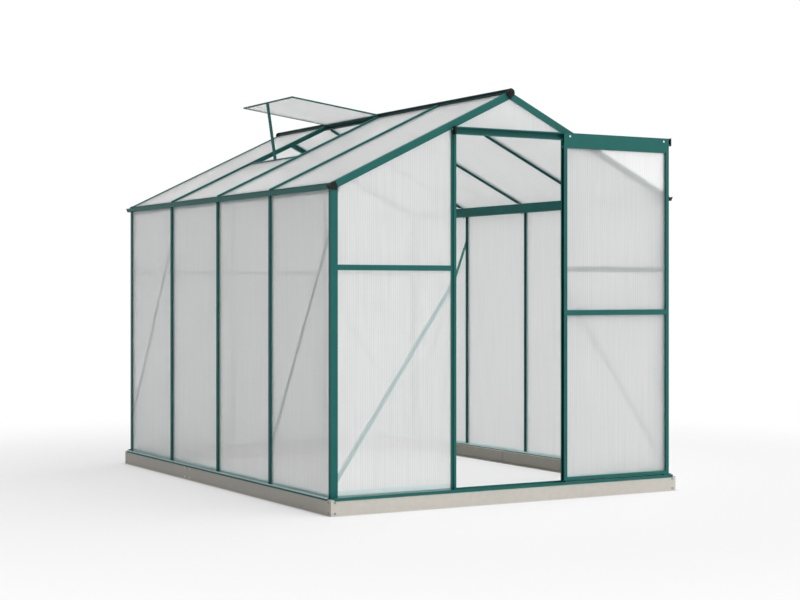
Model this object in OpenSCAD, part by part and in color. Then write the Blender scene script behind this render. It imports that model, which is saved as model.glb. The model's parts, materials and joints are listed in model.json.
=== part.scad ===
// Garden greenhouse with an aluminium frame, twin-wall panes, a sliding door and a roof vent.
// The ground is z = 0, the door end faces -Y, and the origin lies under the middle of the base.

/* [Frame] */
// Width of the frame over the faces of its side walls
frame_w = 1862; // [1500:2:2400]
// Number of bays along each side wall
bays = 4; // [3:1:8]
// Spacing of the glazing bars along a side wall
bay = 609; // [520:1:720]
// Distance from the last bar line to the face of a gable
end_inset = 12; // [10:1:20]
// Height of the roof plane where it meets the wall faces
eave_h = 1448; // [1300:2:1800]
// Slope of the roof in degrees
roof_pitch = 25.9; // [24:0.1:32]

/* [Base] */
// Height of the steel base
base_h = 70; // [50:1:140]
// Width of the base's flanges
base_flange = 52; // [50:1:70]
// Thickness of the base's sheet steel
base_wall = 2; // [1.5:0.1:3]
// Ledge of the base outside the side walls
side_ledge = 19; // [12:1:30]
// Ledge of the base outside the gables
end_ledge = 33; // [28:1:33]
// Place of the splice along the base's sides, from the middle
splice_y = 350; // [100:10:600]
// Length of a corner angle's legs and of half a splice plate
joint_leg = 80; // [60:1:120]
// Thickness of the corner angles and splice plates
joint_t = 3; // [2:0.5:5]

/* [Sills] */
// Drop of a sill's outer lip below the top of the base
sill_drop = 5; // [3:1:10]
// Rise of a sill's outer lip above the top of the base
sill_rise = 9; // [6:1:9]
// Height of a sill's inner upstand above the top of the base
sill_upstand = 12; // [10:1:30]

/* [Glazing bars] */
// Width of the outer face of a wall or roof bar
bar_face = 16; // [14:1:24]
// Projection of the wall and roof bars in front of the frame's face
bar_out = 6; // [0:0.5:8]
// Width of the outer face of a gable's rails and studs
rail_face = 24; // [20:1:30]
// Width of a bar's inner flange
bar_flange = 16; // [12:1:20]
// Depth of a bar's rib behind its inner flange
rib_d = 7.5; // [7:0.5:18]
// Wall thickness of the extrusions
sheet = 2; // [1.6:0.1:2.4]
// Thickness of a bar's web
web_t = 3; // [2:0.2:4]
// Thickness of the lips that press on the panes
lip_t = 1.5; // [1:0.1:2]
// Width of the toe on a bar's rib
toe_w = 6; // [5:0.5:10]
// Thickness of the toe on a bar's rib
toe_t = 3; // [2:0.5:3]
// Width of a corner extrusion on the gable side
corner_face = 32; // [30:1:34]
// Width of a corner extrusion on the wall or roof side
corner_side = 26; // [24:1:30]

/* [Panes] */
// Thickness of the twin-wall panes
pane_t = 4; // [3:0.5:5]
// Depth of the panes behind the outer faces of the bars
pane_set = 4; // [3.5:0.5:8]

/* [Gutters] */
// Reach of the top of a gutter's lip outside the wall face
gutter_out = 26; // [24:1:40]
// Reach of a gutter's floor outside the wall face
gutter_foot = 17; // [15:1:24]
// Height of a gutter's lip above the underside of its floor
gutter_lip = 17.5; // [14:0.5:22]
// Depth of the gutter's floor below the eave height
gutter_floor = 27; // [24:1:32]
// Drop of the eave beam below the gutter's floor
beam_drop = 12; // [8:1:16]
// Distance from the wall face to the inner face of the eave beam
beam_in = 46; // [36:1:52]
// Depth of the spigot of a gutter's end cap
spigot_l = 30; // [20:1:50]
// Reach of a gutter's end cap up the verge
cap_up = 20; // [14:1:30]
// Depth of a gutter's end cap square to the roof
cap_d = 28; // [20:1:32]
// Drop of a gutter's end cap below the gutter
cap_drop = 2; // [0.5:0.5:4]
// Height of the notch in a gutter's end cap above the underside of the gutter
cap_notch = 10; // [7:0.5:12]
// Thickness of a gutter's end cap
cap_t = 3.5; // [2:0.5:3.5]

/* [Ridge] */
// Height of the ridge's head above the apex of the roof plane
ridge_rise = 11; // [9:0.5:16]
// Depth of the ridge's head below the apex of the roof plane
ridge_drop = 9; // [8:0.5:10]
// Half width of the wings that carry the bars
ridge_seat = 17; // [15:1:40]
// Half thickness of the ridge's web
ridge_web = 2; // [1.5:0.1:3]
// Thickness of the ridge's end caps
ridge_cap_t = 10; // [4:0.5:14]
// Half width of the ridge's end caps
ridge_cap_r = 20; // [18:1:26]
// Height of the caps' round centre below the apex of the roof plane
ridge_cap_drop = 6; // [2:1:10]
// Length of the caps' point below that centre
ridge_cap_point = 29; // [26:1:40]

/* [Doorway] */
// Clear width of the doorway
doorway_w = 588; // [500:2:640]
// Width of a door post's face
door_post_w = 13; // [11:1:18]
// Projection of a door post in front of the frame's face
door_post_out = 3.7; // [2:0.1:3.9]
// Reach of a door post's pane lips
door_post_lip = 11; // [8:1:14]
// Middle height of the mid-rails
mid_rail_h = 1080; // [900:5:1200]
// Drop of the header's middle below the roof plane at the side of the doorway
header_drop = 53; // [50:1:70]
// Middle distance of the rear studs from the middle of the gable
stud_x = 300; // [240:2:340]

/* [Door track] */
// Height of the track's section
track_h = 34.5; // [30:0.5:40]
// Depth of the track's section
track_d = 19; // [17:0.5:21]
// Height of the track's front lips
track_lip = 4; // [3:0.5:6]
// Length of the track's end caps
track_cap_l = 7; // [5:1:30]
// Thickness of the track's end caps
track_cap_t = 1.3; // [1:0.1:1.5]

/* [Door] */
// Overlap of the closed door past each side of the doorway
door_lap = 18.5; // [14:0.5:24]
// Depth of the door's frame
door_t = 23; // [18:1:24]
// Gap between the door's back and the frame's face
door_gap = 9; // [9:0.5:12]
// Distance from the open door's edge to the face of the side wall
door_rest = 21.5; // [15:0.5:60]
// Width of the door's stiles
stile_w = 18; // [16:1:26]
// Depth of the pane grooves in the door
groove_d = 8; // [5:0.5:9]
// Gap between the door's foot and the lip of the front sill
door_foot = 5.5; // [5:0.5:10]
// Height of the door's bottom rail
bottom_rail_h = 15; // [13:1:30]
// Middle height of the door's mid-rail
door_rail_z = 874; // [700:2:1000]
// Height of the door's mid-rail
door_rail_h = 24.8; // [22:0.2:36]
// Drop of the top rail's underside below the underside of the track
top_rail_drop = 37.5; // [32:0.5:50]
// Height of the box of the door's top rail
top_rail_h = 22; // [18:0.5:25]
// Height of the hanger plate, from the underside of the top rail
hanger_h = 69; // [64:0.5:72]
// Thickness of the hanger plate
hanger_t = 2.5; // [2:0.1:3]
// Distance of a roller's axle from the door's edge
roller_in = 33; // [26:1:80]
// Thickness of the rollers
roller_t = 9; // [6:0.5:10]
// Diameter of the rollers' axles
axle_d = 8; // [6:0.5:10]
// Length of an axle in front of the hanger plate
axle_out = 1; // [0.5:0.1:2]

/* [Roof vent] */
// Bay of the vent, counted from the door
vent_bay = 3; // [1:1:3]
// Length of the vent from its hinge
vent_l = 514; // [400:2:600]
// Angle of the open vent above the level in degrees
vent_open = 7.5; // [0:0.5:20]
// Gap between the vent's side and the line of the next bar
vent_side = 4; // [2:0.5:8]
// Width of the vent's side bars
vent_bar_w = 10; // [9:1:26]
// Width of the vent's free edge rail
vent_edge_w = 6; // [6:1:20]
// Depth of the pane groove in the vent
vent_groove = 4; // [3:0.5:5]
// Rise of the vent's frame above the hinge line
vent_rise = 5; // [5:0.5:10]
// Drop of the vent's frame below the hinge line
vent_drop = 2; // [2:0.5:4]
// Width of the bar under the vent's free edge
transom_face = 14; // [12:1:24]
// Radius of the hinge bead
bead_r = 4; // [3:0.1:4.2]
// Thickness of the neck that carries the hinge bead
neck_t = 2.5; // [2:0.1:3]
// Distance from the hinge line to the vent's frame
neck_l = 9; // [8.5:0.5:12]
// Width of the stay
stay_w = 20; // [10:1:26]
// Thickness of the stay
stay_t = 8; // [3:0.5:10]
// Diameter of the holes in the stay
stay_hole_d = 6; // [4:0.5:8]
// Number of holes in the stay
stay_holes = 4; // [2:1:6]

/* [Braces] */
// Width of the braces
brace_w = 20; // [14:1:26]
// Thickness of the braces
brace_t = 2; // [1.5:0.1:3]
// Upper height of the wall braces
brace_top = 1266; // [1000:2:1300]
// Lower height of the wall braces
brace_foot = 264; // [200:2:500]
// Upper height of the gable braces
gable_brace_top = 1020; // [800:10:1020]
// Lower height of the gable braces
gable_brace_foot = 120; // [120:5:300]
// Distance of the gable braces' upper ends from the doorway
gable_brace_in = 3; // [2:0.5:6]

/* [Hidden] */
// Gap at every seat and butt joint
seat_gap = 0.3;
// Running gap of the rollers and of the hinge bead
run_gap = 0.5;
// Play of an axle in its hole, over the whole diameter
axle_play = 0.4;
// Overrun of every cut past the solid that it cuts
over = 5;
// Gap between the two roof slopes' deepest corners at the apex
apex_gap = 1;
// Gap between the ridge's head and the upper ends of the bars
ridge_clear = 2;
// Height of the hinge line above the apex of the roof plane
hinge_rise = 2;
// Distance of the hinge line inside the ridge's side
hinge_in = 5.5;
// Half height of the mouth of a hinge groove
hinge_mouth = 3.5;
// Play of a gutter's spigot on each side
spigot_play = 1;

green = [0.16, 0.38, 0.34];
steel = [0.72, 0.70, 0.66];
black = [0.17, 0.16, 0.15];
milky = [0.86, 0.90, 0.90, 0.65];

$fn = 48;

half_w = frame_w / 2;
half_l = bays * bay / 2 + end_inset;
base_hw = half_w + side_ledge;
base_hl = half_l + end_ledge;
tan_p = tan(roof_pitch);
cos_p = cos(roof_pitch);
sin_p = sin(roof_pitch);
ridge_h = eave_h + half_w * tan_p;
// Depths behind a frame face: pane's back, inner flange, end of the bar's head, next seat
pane_back = pane_set + pane_t;
flange_d = pane_back + seat_gap;
head_d = flange_d + sheet;
seat_d = head_d + seat_gap;
bar_d = head_d + rib_d;
// Distance from a bar's middle to the edge of a pane
web_clear = web_t / 2 + seat_gap;
lip_d = pane_set - seat_gap;
// Height of what stands on the sills, and of what stands clear of their upstands
foot_z = base_h + sheet + seat_gap;
rib_z = base_h + sill_upstand + seat_gap;
gutter_z = eave_h - gutter_floor;
gutter_top = gutter_z + gutter_lip;
beam_z = gutter_z - beam_drop;
bar_top = beam_z - seat_gap;
wall_pane_top = gutter_z - seat_gap;
post_top = eave_h - corner_face * cos_p - seat_gap;
// Distances up the slope: start of the panes, end of bars and panes, start and end of the bars' ribs
pane_start = -pane_set * tan_p;
slope_end = (half_w - apex_gap - corner_face * sin_p) / cos_p;
rib_start = (beam_in + seat_gap) / cos_p + bar_d * tan_p;
rib_end = (half_w - ridge_seat - seat_gap) / cos_p - bar_d * tan_p;
ridge_half = apex_gap + corner_face * sin_p - ridge_clear;
hinge_x = ridge_half - hinge_in;
hinge_z = ridge_h + hinge_rise;
transom_x = hinge_x + vent_l * cos_p;
transom_s = (half_w - transom_x) / cos_p;
// Lines of the wall bars, and the panes' edges between them
bar_lines = [for (i = [1 : bays - 1]) (i - bays / 2) * bay];
pane_edges = concat([-half_l + seat_d], [for (y = bar_lines) each [y - web_clear, y + web_clear]],
    [half_l - seat_d]);
vent_y0 = (vent_bay - 1 - bays / 2) * bay;
// Middle height of the header over the doorway
header_h = ridge_h - doorway_w / 2 * tan_p - header_drop;
// The door
door_w = doorway_w + 2 * door_lap;
door_x = half_w - door_rest - door_w;
door_back = half_l + door_gap;
door_front = door_back + door_t;
door_z = base_h + sill_rise + door_foot;
slot_t = pane_t + 2 * seat_gap;
track_z = header_h - track_h / 2;
top_rail_z = track_z - top_rail_drop;
track_back = half_l + door_post_out + seat_gap;
track_x0 = -door_w / 2;
track_x1 = half_w;
roller_r = track_h / 2 - sheet - run_gap;
roller_z = track_z + track_h / 2;
roller_y = track_back + track_d / 2;
doorway_x = doorway_w / 2;
post_out_x = doorway_x + door_post_w + door_post_lip;

// Height of a line at a depth square to the roof plane, over a distance from the middle
function under_roof(x, depth) = ridge_h - abs(x) * tan_p - depth / cos_p;
// Point of the open vent in the XZ plane, along it from the hinge and above it
function vent_point(along, up) = [
    -hinge_x - along * cos(vent_open) + up * sin(vent_open),
    hinge_z + along * sin(vent_open) + up * cos(vent_open)
];

// Places an outline of depth and height along X, on the face of the front gable
module along_x(x0, x1, z = 0)
    translate([x0, -half_l, z]) rotate([90, 0, 90]) linear_extrude(x1 - x0) children();

// Places an outline of X and Z along Y
module along_y(y0, y1)
    translate([0, y1, 0]) rotate([90, 0, 0]) linear_extrude(y1 - y0) children();

// Places an outline of X and Y along Z
module along_z(z0, z1)
    translate([0, 0, z0]) linear_extrude(z1 - z0) children();

// Frame of the left slope: x runs up the slope from the eave, z points away from the roof
module left_slope()
    translate([-half_w, 0, eave_h]) rotate([0, -roof_pitch, 0]) children();

// Places an outline of depth and Y along the left slope
module up_slope(s0, s1)
    left_slope() translate([s0, 0, 0]) rotate([0, 90, 0]) linear_extrude(s1 - s0) children();

module both_sides() {
    children();
    mirror([1, 0, 0]) children();
}

module both_ends() {
    children();
    mirror([0, 1, 0]) children();
}

// Part of a glazing bar outside the panes' backs: outer flange with lips, and web, depth along x
module bar_cap(face, out) {
    translate([-out, -face / 2]) square([sheet, face]);
    for (side = [-1, 1])
        translate([-out, side * (face - lip_t) / 2 - lip_t / 2]) square([lip_d + out, lip_t]);
    translate([-out, -web_t / 2]) square([pane_back + out, web_t]);
}

// Head of a glazing bar: its cap, the rest of its web and its inner flange
module bar_head(face, out) {
    bar_cap(face, out);
    translate([0, -web_t / 2]) square([head_d, web_t]);
    translate([flange_d, -bar_flange / 2]) square([sheet, bar_flange]);
}

// Rib of a glazing bar with its toe
module bar_rib() {
    translate([flange_d, -web_t / 2]) square([bar_d - flange_d, web_t]);
    translate([bar_d - toe_t, -toe_w / 2]) square([toe_t, toe_w]);
}

// Corner extrusion without its inner flange on the wall or roof side
module corner_outer_section() {
    difference() {
        square(head_d);
        translate([sheet, sheet]) square(head_d - 2 * sheet);
    }
    square([corner_face, sheet]);
    translate([corner_face - lip_t, 0]) square([lip_t, lip_d]);
    translate([flange_d, flange_d]) square([corner_face - sheet - flange_d, sheet]);
    square([sheet, corner_side]);
    translate([0, corner_side - lip_t]) square([lip_d, lip_t]);
}

// Whole corner extrusion: a square tube, two outer flanges with lips and two inner flanges
module corner_section() {
    corner_outer_section();
    translate([flange_d, flange_d]) square([sheet, corner_side - sheet - flange_d]);
}

// Door post: a tube with two lips that hold the pane beside the doorway, doorway face at x = 0
module door_post_section() {
    difference() {
        translate([0, -door_post_out]) square([door_post_w, head_d + door_post_out]);
        translate([sheet, sheet - door_post_out])
            square([door_post_w - 2 * sheet, head_d + door_post_out - 2 * sheet]);
    }
    for (d = [lip_d - sheet, flange_d])
        translate([door_post_w - sheet, d]) square([door_post_lip + sheet, sheet]);
}

// C-channel of the base, open towards the inside
module base_section() {
    difference() {
        square([base_flange, base_h]);
        translate([base_wall, base_wall]) square([base_flange, base_h - 2 * base_wall]);
    }
}

// Sill for a base ledge of the given width: the part outside the frame's face
module sill_outside(ledge, inner) {
    outer = ledge + seat_gap + sheet;
    translate([-outer, base_h]) square([outer + inner, sheet]);
    translate([-outer, base_h - sill_drop]) square([sheet, sill_drop + sill_rise]);
}

// Upstand of a sill behind the panes
module sill_inside() {
    translate([seat_d, base_h]) square([sheet, sill_upstand]);
}

module base_end() {
    intersection() {
        translate([0, -end_ledge, 0]) along_x(-base_hw, base_hw) base_section();
        along_z(0, base_h) polygon([
            [-base_hw + seat_gap, -base_hl], [base_hw - seat_gap, -base_hl],
            [base_hw - base_flange - seat_gap, base_flange - base_hl],
            [-base_hw + base_flange + seat_gap, base_flange - base_hl]
        ]);
    }
}

module base_side() {
    difference() {
        intersection() {
            translate([-base_hw, 0, 0]) along_y(-base_hl, base_hl) base_section();
            along_z(0, base_h) polygon([
                [-base_hw, seat_gap - base_hl], [-base_hw, base_hl - seat_gap],
                [base_flange - base_hw, base_hl - base_flange - seat_gap],
                [base_flange - base_hw, base_flange + seat_gap - base_hl]
            ]);
        }
        translate([-base_hw - over, splice_y - seat_gap, -over])
            cube([base_flange + 2 * over, seat_gap, base_h + 2 * over]);
    }
}

module base_front() { color(steel) base_end(); }
module base_rear() { color(steel) mirror([0, 1, 0]) base_end(); }
module base_left() { color(steel) base_side(); }
module base_right() { color(steel) mirror([1, 0, 0]) base_side(); }

// Angles inside the corners of the base
module base_corner_angles() {
    inset = base_wall + seat_gap;
    color(steel) both_sides() both_ends()
        translate([inset - base_hw, inset - base_hl, 0]) along_z(inset, base_h - inset) {
            square([joint_leg, joint_t]);
            square([joint_t, joint_leg]);
        }
}

// Plates inside the sides of the base, across the splices
module base_splice_plates() {
    inset = base_wall + seat_gap;
    color(steel) both_sides()
        translate([inset - base_hw, splice_y - joint_leg, inset])
            cube([joint_t, 2 * joint_leg, base_h - 2 * inset]);
}

module end_sill() {
    along_x(-half_w, half_w) sill_outside(end_ledge, seat_d + sheet);
    along_x(seat_d - half_w, half_w - seat_d) sill_inside();
}

module side_sill() {
    inner_l = half_l - seat_d - sheet - seat_gap;
    translate([-half_w, 0, 0]) {
        along_y(-half_l, half_l) sill_outside(side_ledge, -seat_gap);
        along_y(-inner_l, inner_l) {
            sill_outside(side_ledge, seat_d + sheet);
            sill_inside();
        }
    }
}

module front_sill() { color(green) end_sill(); }
module rear_sill() { color(green) mirror([0, 1, 0]) end_sill(); }
module left_sill() { color(green) side_sill(); }
module right_sill() { color(green) mirror([1, 0, 0]) side_sill(); }

module corner_post_pair()
    both_ends() translate([-half_w, -half_l, 0]) {
        along_z(foot_z, post_top) corner_outer_section();
        along_z(foot_z, bar_top) corner_section();
    }

module wall_bar_row()
    for (y = bar_lines) translate([-half_w, y, 0]) {
        along_z(foot_z, wall_pane_top) bar_cap(bar_face, bar_out);
        along_z(foot_z, bar_top) bar_head(bar_face, bar_out);
        along_z(rib_z, bar_top) bar_rib();
    }

module left_corner_posts() { color(green) corner_post_pair(); }
module right_corner_posts() { color(green) mirror([1, 0, 0]) corner_post_pair(); }
module left_wall_bars() { color(green) wall_bar_row(); }
module right_wall_bars() { color(green) mirror([1, 0, 0]) wall_bar_row(); }

// Posts on both sides of the doorway, up to the underside of the verges
module door_posts() {
    top = under_roof(post_out_x, corner_face) - seat_gap;
    color(green) both_sides()
        translate([doorway_x, -half_l, 0]) along_z(foot_z, top) door_post_section();
}

module rear_studs() {
    top = under_roof(stud_x + rail_face / 2, corner_face) - seat_gap;
    color(green) mirror([0, 1, 0]) both_sides() translate([stud_x, -half_l, 0]) {
        along_z(foot_z, top) rotate(90) bar_head(rail_face, 0);
        along_z(rib_z, top) rotate(90) bar_rib();
    }
}

// Glazing bar laid level across a gable
module gable_rail(x0, x1, z)
    along_x(x0, x1, z) {
        bar_head(rail_face, 0);
        bar_rib();
    }

module front_rails() {
    color(green) {
        both_sides() gable_rail(post_out_x + seat_gap, half_w - corner_face - seat_gap, mid_rail_h);
        gable_rail(seat_gap - doorway_x, doorway_x - seat_gap, header_h);
    }
}

module rear_rails() {
    stud_edge = rail_face / 2 + seat_gap;
    color(green) mirror([0, 1, 0]) {
        both_sides() gable_rail(stud_x + stud_edge, half_w - corner_face - seat_gap, mid_rail_h);
        for (z = [mid_rail_h, header_h]) gable_rail(stud_edge - stud_x, stud_x - stud_edge, z);
    }
}

// Trough of the gutter with its leaning lip and the stop at the feet of the roof panes, in X and Z
// from the wall face and the ground
module trough_section(inner) {
    translate([-gutter_foot, gutter_z]) square([gutter_foot + inner, sheet]);
    translate([-seat_gap - sheet, gutter_z]) square([sheet, gutter_floor]);
    polygon([
        [-gutter_foot, gutter_z], [sheet - gutter_foot, gutter_z],
        [sheet - gutter_out, gutter_top], [-gutter_out, gutter_top]
    ]);
}

// Box beam under the roof bars, behind the heads of the wall panes
module eave_beam_section() {
    top_out = under_roof(half_w - flange_d, seat_d);
    top_in = under_roof(half_w - beam_in, seat_d);
    difference() {
        polygon([[flange_d, beam_z], [beam_in, beam_z], [beam_in, top_in], [flange_d, top_out]]);
        polygon([
            [flange_d + sheet, beam_z + sheet], [beam_in - sheet, beam_z + sheet],
            [beam_in - sheet, top_in - 2 * sheet], [flange_d + sheet, top_out - sheet]
        ]);
    }
}

module gutter() {
    inner_l = half_l - seat_d;
    translate([-half_w, 0, 0]) {
        along_y(-half_l, half_l) trough_section(-seat_gap);
        along_y(-inner_l, inner_l) {
            trough_section(flange_d + sheet);
            eave_beam_section();
        }
    }
}

module left_gutter() { color(green) gutter(); }
module right_gutter() { color(green) mirror([1, 0, 0]) gutter(); }

// Plastic caps over the ends of the gutters and the feet of the verges, each with a spigot in its trough
module gutter_end_caps() {
    face_y = half_l + seat_gap;
    foot = gutter_z - cap_drop;
    tip = [cap_up * cos_p, eave_h + cap_up * sin_p];
    shoulder = tip + cap_d * [sin_p, -cos_p];
    stop_out = seat_gap + sheet;
    spigot_out = gutter_foot - sheet - spigot_play;
    spigot_in = stop_out + spigot_play;
    color(black) both_sides() both_ends() translate([-half_w, 0, 0]) {
        along_y(-face_y - cap_t, -face_y) polygon([
            [-gutter_foot, foot], [shoulder[0], foot], shoulder, tip, [-stop_out, eave_h],
            [-spigot_in, gutter_z + cap_notch], [sheet - gutter_out, gutter_top], [-gutter_out, gutter_top]
        ]);
        along_y(-face_y, spigot_l - face_y) translate([-spigot_out, gutter_z + sheet + seat_gap])
            square([spigot_out - spigot_in, cap_notch - sheet - seat_gap]);
    }
}

module verge_pair()
    both_sides() translate([0, -half_l, 0]) up_slope(0, slope_end) corner_section();

module roof_bar_row()
    for (y = bar_lines) translate([0, y, 0]) {
        up_slope(0, slope_end) bar_head(bar_face, bar_out);
        up_slope(rib_start, rib_end) bar_rib();
    }

module front_verges() { color(green) verge_pair(); }
module rear_verges() { color(green) mirror([0, 1, 0]) verge_pair(); }
module left_roof_bars() { color(green) roof_bar_row(); }
module right_roof_bars() { color(green) mirror([1, 0, 0]) roof_bar_row(); }

// Sloping wing of the ridge on one side, from its depth under the roof plane
module ridge_wing_section(x0, x1, depth)
    polygon([
        [x0, under_roof(x0, depth)], [x1, under_roof(x1, depth)],
        [x1, under_roof(x1, depth + sheet)], [x0, under_roof(x0, depth + sheet)]
    ]);

// Head of the ridge with a hinge groove in each side
module ridge_head_section() {
    difference() {
        translate([-ridge_half, ridge_h - ridge_drop]) square([2 * ridge_half, ridge_drop + ridge_rise]);
        for (side = [-1, 1]) translate([side * hinge_x, hinge_z]) {
            circle(bead_r + run_gap);
            translate([min(0, side * (hinge_in + over)), -hinge_mouth])
                square([hinge_in + over, 2 * hinge_mouth]);
        }
    }
}

module ridge_beam() {
    inner_l = half_l - seat_d;
    color(green) {
        along_y(-half_l, half_l) ridge_head_section();
        along_y(-inner_l, inner_l) {
            web_foot = under_roof(0, seat_d + sheet);
            translate([-ridge_web, web_foot]) square([2 * ridge_web, ridge_h - ridge_drop - web_foot + sheet]);
            both_sides() ridge_wing_section(0, ridge_seat, seat_d);
        }
    }
}

// Plastic caps on the ends of the ridge, round above and pointed below
module ridge_end_caps() {
    face_y = half_l + seat_gap;
    middle = ridge_h - ridge_cap_drop;
    color(black) both_ends() along_y(-face_y - ridge_cap_t, -face_y) {
        translate([0, middle]) circle(ridge_cap_r);
        polygon([[-ridge_cap_r, middle], [ridge_cap_r, middle], [0, middle - ridge_cap_point]]);
    }
}

// Flat bar between two points of a plane, its ends cut upright
module brace_outline(a, b) {
    rise = b[1] - a[1];
    run = b[0] - a[0];
    half_h = brace_w * sqrt(rise * rise + run * run) / abs(run) / 2;
    polygon([[a[0], a[1] - half_h], [b[0], b[1] - half_h], [b[0], b[1] + half_h], [a[0], a[1] + half_h]]);
}

// Braces behind the first and last bays of both side walls
module wall_braces() {
    starts = [pane_edges[0], pane_edges[2 * bays - 2]];
    ends = [pane_edges[1], pane_edges[2 * bays - 1]];
    color(green) both_sides() translate([seat_d - half_w, 0, 0])
        for (i = [0, 1]) rotate([90, 0, 90]) linear_extrude(brace_t)
            brace_outline([starts[i], brace_top], [ends[i], brace_foot]);
}

// Braces behind the lower panes of both gables
module gable_braces() {
    foot = [half_w - seat_d, gable_brace_foot];
    face_y = seat_d - half_l;
    color(green) both_sides() {
        along_y(face_y, face_y + brace_t)
            brace_outline(foot, [doorway_x + gable_brace_in, gable_brace_top]);
        mirror([0, 1, 0]) along_y(face_y, face_y + brace_t)
            brace_outline(foot, [stud_x + web_clear, gable_brace_top]);
    }
}

module wall_pane_row()
    translate([pane_set - half_w, 0, 0]) along_z(foot_z, wall_pane_top)
        for (i = [0 : bays - 1]) translate([0, pane_edges[2 * i]])
            square([pane_t, pane_edges[2 * i + 1] - pane_edges[2 * i]]);

module left_wall_panes() { color(milky) wall_pane_row(); }
module right_wall_panes() { color(milky) mirror([1, 0, 0]) wall_pane_row(); }

// Stands a gable's pane outline of X and Z behind the front gable's face
module in_gable()
    along_y(pane_set - half_l, pane_back - half_l) children();

// Pane under the slope of the verge, between two distances from the middle
module slope_pane(x0, x1, z)
    polygon([[x0, z], [x1, z], [x1, under_roof(x1, seat_d)], [x0, under_roof(x0, seat_d)]]);

// Two panes of a gable's side panel, under and over the mid-rail
module side_panel_panes(x0) {
    x1 = half_w - seat_d;
    translate([x0, foot_z]) square([x1 - x0, mid_rail_h - web_clear - foot_z]);
    slope_pane(x0, x1, mid_rail_h + web_clear);
}

// Five-sided pane over the header, up to the apex
module apex_pane(x)
    polygon([
        [-x, header_h + web_clear], [x, header_h + web_clear], [x, under_roof(x, seat_d)],
        [0, under_roof(0, seat_d)], [-x, under_roof(x, seat_d)]
    ]);

module front_gable_panes() {
    color(milky) in_gable() {
        both_sides() side_panel_panes(doorway_x + door_post_w + seat_gap);
        apex_pane(doorway_x - seat_gap);
    }
}

module rear_gable_panes() {
    x = stud_x - web_clear;
    heights = [foot_z, mid_rail_h - web_clear, mid_rail_h + web_clear, header_h - web_clear];
    color(milky) mirror([0, 1, 0]) in_gable() {
        both_sides() side_panel_panes(stud_x + web_clear);
        for (i = [0, 2]) translate([-x, heights[i]]) square([2 * x, heights[i + 1] - heights[i]]);
        apex_pane(x);
    }
}

// Row of roof panes on the left slope, with one bay shortened under a vent
module roof_pane_row(short_bay)
    left_slope() translate([pane_start, 0, -pane_back]) linear_extrude(pane_t)
        for (i = [0 : bays - 1]) translate([0, pane_edges[2 * i]])
            square([
                (i == short_bay ? transom_s - web_clear : slope_end) - pane_start,
                pane_edges[2 * i + 1] - pane_edges[2 * i]
            ]);

module left_roof_panes() { color(milky) roof_pane_row(vent_bay - 1); }
module right_roof_panes() { color(milky) mirror([1, 0, 0]) roof_pane_row(-1); }

// Bar across the vent's bay, under the vent's free edge
module vent_transom() {
    edge = bar_face / 2 + seat_gap;
    color(green) left_slope() translate([transom_s, vent_y0 + edge, 0]) rotate([-90, 90, 0])
        linear_extrude(bay - 2 * edge) bar_head(transom_face, 0);
}

// Frame of the open vent: x runs away from the hinge, z points up from it
module vent_place()
    translate([-hinge_x, vent_y0 + vent_side, hinge_z]) mirror([1, 0, 0]) rotate([0, -vent_open, 0]) children();

vent_w = bay - 2 * vent_side;
vent_pane_z = (vent_rise - vent_drop - pane_t) / 2;

module vent_frame() {
    window_l = vent_l - neck_l - 2 * vent_edge_w;
    color(green) vent_place() {
        difference() {
            translate([neck_l, 0, -vent_drop]) cube([vent_l - neck_l, vent_w, vent_rise + vent_drop]);
            translate([neck_l + vent_edge_w, vent_bar_w, -vent_drop - over])
                cube([window_l, vent_w - 2 * vent_bar_w, vent_rise + vent_drop + 2 * over]);
            translate([neck_l + vent_edge_w - vent_groove, vent_bar_w - vent_groove, vent_pane_z - seat_gap])
                cube([window_l + 2 * vent_groove, vent_w - 2 * (vent_bar_w - vent_groove), slot_t]);
        }
        translate([0, 0, -neck_t / 2]) cube([neck_l, vent_w, neck_t]);
        rotate([-90, 0, 0]) cylinder(r = bead_r, h = vent_w);
    }
}

module vent_pane() {
    lap = vent_groove - seat_gap;
    color(milky) vent_place() translate([neck_l + vent_edge_w - lap, vent_bar_w - lap, vent_pane_z])
        cube([vent_l - neck_l - 2 * vent_edge_w + 2 * lap, vent_w - 2 * (vent_bar_w - lap), pane_t]);
}

// Stay that stands on the transom and holds the vent's free edge up
module vent_stay() {
    foot = [for (side = [-1, 1]) [
        side * stay_t / 2 - transom_x, under_roof(transom_x - side * stay_t / 2, -seat_gap)
    ]];
    head_l = vent_l - vent_edge_w / 2;
    head = [for (side = [1, -1]) vent_point(head_l - side * stay_t / 2, -vent_drop - seat_gap)];
    low = (foot[0] + foot[1]) / 2;
    high = (head[0] + head[1]) / 2;
    middle_y = vent_y0 + bay / 2;
    color(green) difference() {
        along_y(middle_y - stay_w / 2, middle_y + stay_w / 2) polygon(concat(foot, head));
        for (i = [1 : stay_holes]) {
            place = low + (high - low) * i / (stay_holes + 1);
            translate([place[0], middle_y, place[1]]) rotate([0, 90, 0])
                cylinder(d = stay_hole_d, h = stay_t + 2 * over, center = true);
        }
    }
}

// C-section of the track, open to the front, depth from its front face along x
module track_section() {
    difference() {
        square([track_d, track_h]);
        translate([sheet, sheet]) square([track_d - 2 * sheet, track_h - 2 * sheet]);
        translate([-over, sheet + track_lip]) square([over + 2 * sheet, track_h - 2 * (sheet + track_lip)]);
    }
}

module door_track() {
    color(green) translate([0, half_l - track_back - track_d, 0])
        along_x(track_x0 + track_cap_t + seat_gap, track_x1 - track_cap_t - seat_gap, track_z) track_section();
}

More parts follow.
